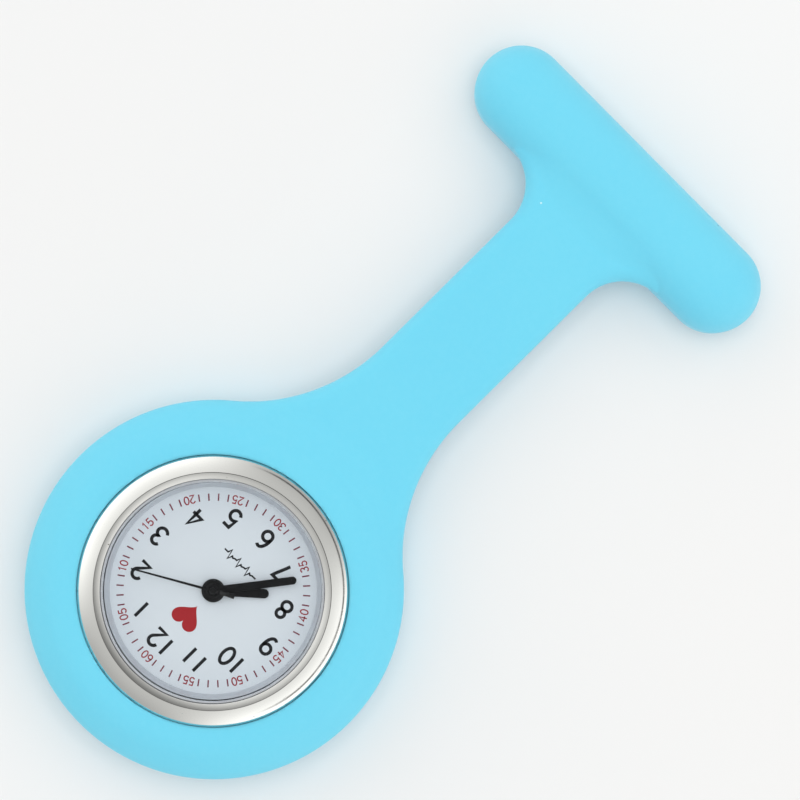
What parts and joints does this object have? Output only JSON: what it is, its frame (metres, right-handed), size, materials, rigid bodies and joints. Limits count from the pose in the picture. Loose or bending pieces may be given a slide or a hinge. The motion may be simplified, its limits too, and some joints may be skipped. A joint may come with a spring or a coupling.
{
  "type": "fob watch",
  "caption": "Silicone nurse's fob watch: a round quartz watch pushed into the ring of a T-shaped silicone holder, with a strap and a bar that hides a brooch pin.",
  "frame": {"origin": "on the surface the watch lies on, under the middle of its bounding box", "axes": "+Z out of the dial, +Y along the strap from the watch to the brooch bar, +X towards nine o'clock"},
  "size_m": [0.0404, 0.0858, 0.0096],
  "materials": {
    "silicone": "matte, slightly velvety sky-blue silicone",
    "chrome": "polished",
    "steel": "satin",
    "glass": "clear, polished",
    "gasket": "matte",
    "grey_ring": "satin silver grey",
    "dial": "satin silver white",
    "black_hand": "semi-gloss black",
    "brass": "satin",
    "white_plastic": "moulded",
    "black_plastic": "moulded",
    "board": "solder mask",
    "copper": "enamelled copper wire",
    "magnet": "matte dark grey"
  },
  "bodies": {
    "brooch_bar": {"holder_brooch_end": "silicone", "pin_plate": "steel", "pin_rivet": "steel", "pin_catch": "steel"},
    "needle": {"pin_needle": "steel"},
    "lock": {"pin_lock": "brass"},
    "head_holder": {"holder_watch_end": "silicone"},
    "watch_insert": {"case_body": "chrome", "bezel": "chrome", "crystal": "glass", "crystal_gasket": "gasket", "rehaut_ring": "grey_ring", "case_back": "steel", "case_back_gasket": "gasket", "crown_tube": "steel", "dial": "dial", "movement_ring": "white_plastic", "main_plate": "black_plastic", "train_bridge": "white_plastic", "circuit_board": "board", "control_chip": "black_plastic", "quartz_crystal": "steel", "stator": "steel", "coil_core": "steel", "coil_winding": "copper", "battery": "steel", "battery_clamp": "steel", "battery_contact": "brass", "circuit_cover": "steel", "movement_screw_1": "steel", "movement_screw_2": "steel", "movement_screw_3": "steel", "setting_lever": "steel", "yoke": "steel"},
    "clutch": {"clutch_wheel": "steel"},
    "crown_and_stem": {"crown": "chrome", "stem": "steel"},
    "seconds": {"fourth_wheel": "brass", "seconds_hand": "black_hand"},
    "minutes": {"centre_wheel": "brass", "cannon_pinion": "brass", "minute_hand": "black_hand"},
    "hours": {"hour_wheel": "brass", "hour_hand": "black_hand"},
    "motor_rotor": {"rotor": "magnet"},
    "fifth": {"fifth_wheel": "brass"},
    "third": {"third_wheel": "brass"},
    "minute_work": {"minute_wheel": "brass"},
    "setting_gear": {"setting_wheel": "brass"}
  },
  "joints": [
    {"name": "strap_flex", "type": "hinge", "parent": "brooch_bar", "child": "head_holder", "pos_m": [0, 0.01777, 0.005], "axis": [-1, 0, 0], "range_deg": [0, 90], "stiffness_Nm_per_rad": 0.004},
    {"name": "insert_lift", "type": "slide", "parent": "head_holder", "child": "watch_insert", "axis": [0, 0, 1], "range_m": [0, 0.014]},
    {"name": "needle_open", "type": "hinge", "parent": "brooch_bar", "child": "needle", "pos_m": [-0.0122, 0.03793, 0.0019], "axis": [0, 1, 0], "range_deg": [0, 80]},
    {"name": "lock_turn", "type": "hinge", "parent": "brooch_bar", "child": "lock", "pos_m": [0.0116, 0.03793, 0.0019], "axis": [-1, 0, 0], "range_deg": [0, 120]},
    {"name": "crown_turn", "type": "hinge", "parent": "watch_insert", "child": "clutch", "pos_m": [-0.0051, -0.02272, 0.004], "axis": [-1, 0, 0], "continuous": true},
    {"name": "crown_pull", "type": "slide", "parent": "clutch", "child": "crown_and_stem", "axis": [-1, 0, 0], "range_m": [0, 0.00075]},
    {"name": "seconds_turn", "type": "hinge", "parent": "watch_insert", "child": "seconds", "pos_m": [0, -0.02272, 0.004], "axis": [0, 0, -1], "continuous": true},
    {"name": "minutes_turn", "type": "hinge", "parent": "watch_insert", "child": "minutes", "pos_m": [0, -0.02272, 0.004], "axis": [0, 0, -1], "continuous": true},
    {"name": "hours_turn", "type": "hinge", "parent": "watch_insert", "child": "hours", "pos_m": [0, -0.02272, 0.004], "axis": [0, 0, -1], "continuous": true},
    {"name": "rotor_turn", "type": "hinge", "parent": "watch_insert", "child": "motor_rotor", "pos_m": [0.00023, -0.01865, 0.004], "axis": [0, 0, -1], "continuous": true},
    {"name": "fifth_turn", "type": "hinge", "parent": "watch_insert", "child": "fifth", "pos_m": [-0.00082, -0.02047, 0.004], "axis": [0, 0, -1], "continuous": true},
    {"name": "third_turn", "type": "hinge", "parent": "watch_insert", "child": "third", "pos_m": [-0.00212, -0.02395, 0.004], "axis": [0, 0, -1], "continuous": true},
    {"name": "minute_wheel_turn", "type": "hinge", "parent": "watch_insert", "child": "minute_work", "pos_m": [-0.0012, -0.0248, 0.004], "axis": [0, 0, -1], "continuous": true},
    {"name": "setting_wheel_turn", "type": "hinge", "parent": "watch_insert", "child": "setting_gear", "pos_m": [-0.00341, -0.02325, 0.004], "axis": [0, 0, -1], "continuous": true}
  ],
  "couplings": [
    {"joint": "rotor_turn", "follows": "seconds_turn", "ratio": 30},
    {"joint": "fifth_turn", "follows": "seconds_turn", "ratio": -5},
    {"joint": "third_turn", "follows": "seconds_turn", "ratio": -0.13333},
    {"joint": "minutes_turn", "follows": "seconds_turn", "ratio": 0.016667},
    {"joint": "minute_wheel_turn", "follows": "seconds_turn", "ratio": -0.0055556},
    {"joint": "hours_turn", "follows": "seconds_turn", "ratio": 0.0013889},
    {"joint": "setting_wheel_turn", "follows": "seconds_turn", "ratio": 0.011111}
  ]
}
